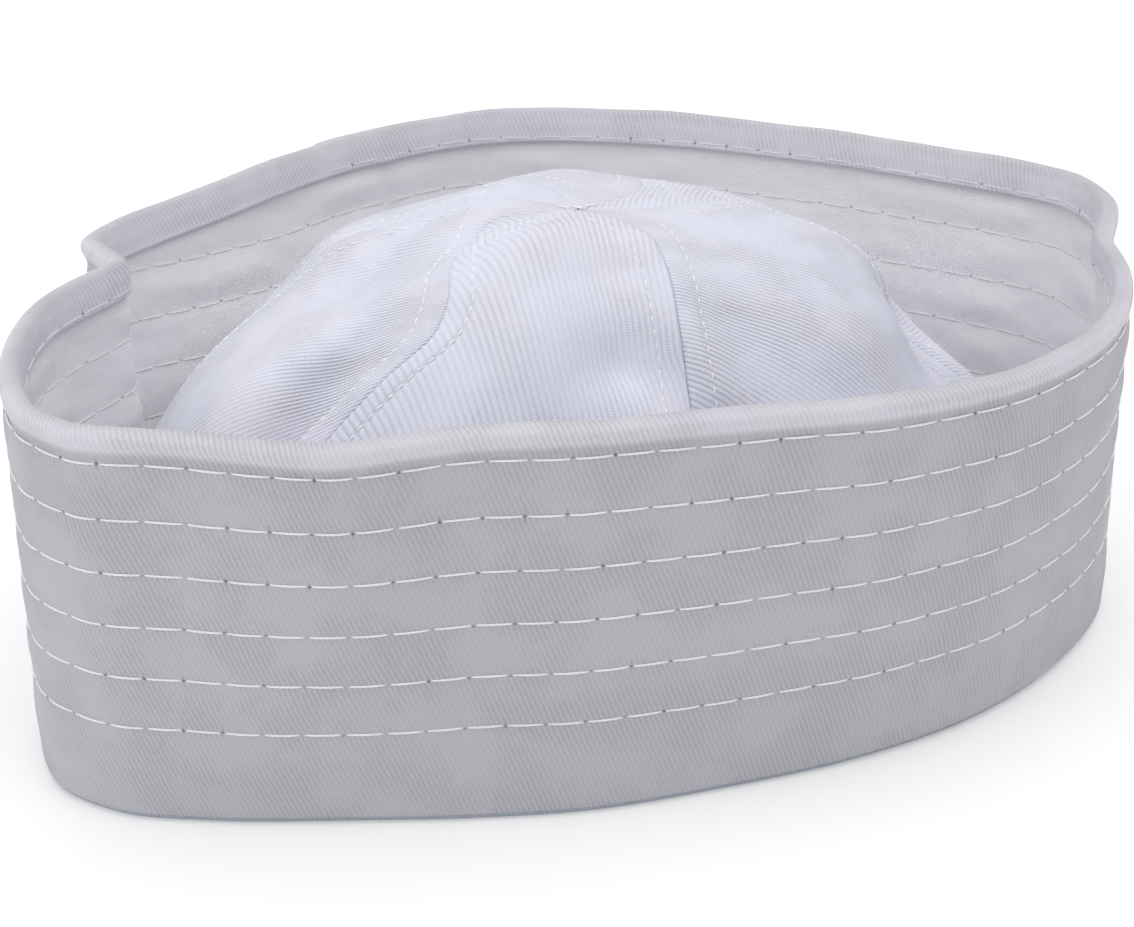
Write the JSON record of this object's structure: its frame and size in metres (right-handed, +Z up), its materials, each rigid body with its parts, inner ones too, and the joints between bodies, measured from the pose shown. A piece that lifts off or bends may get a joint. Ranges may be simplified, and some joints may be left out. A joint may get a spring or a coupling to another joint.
{
  "type": "sailor cap",
  "caption": "Soft white cotton sailor cap with a gored crown inside a standing stitched brim, a plain lining and an inside band.",
  "frame": {"origin": "bottom centre of the cap's bounding box, on the surface that it stands on", "axes": "+Z up out of the crown, +X along the cap towards its right end in the picture, +Y towards the back of the brim"},
  "size_m": [0.2218, 0.1772, 0.0936],
  "materials": {
    "crown_twill": "matte",
    "brim_twill": "matte",
    "lining_cotton": "matte",
    "band_cotton": "matte"
  },
  "bodies": {
    "root": {"crown_gore_1": "crown_twill", "crown_gore_2": "crown_twill", "crown_gore_3": "crown_twill", "crown_gore_4": "crown_twill", "crown_gore_5": "crown_twill", "crown_gore_6": "crown_twill", "brim_shell": "brim_twill", "brim_lining": "lining_cotton", "sweatband": "band_cotton"}
  },
  "joints": []
}
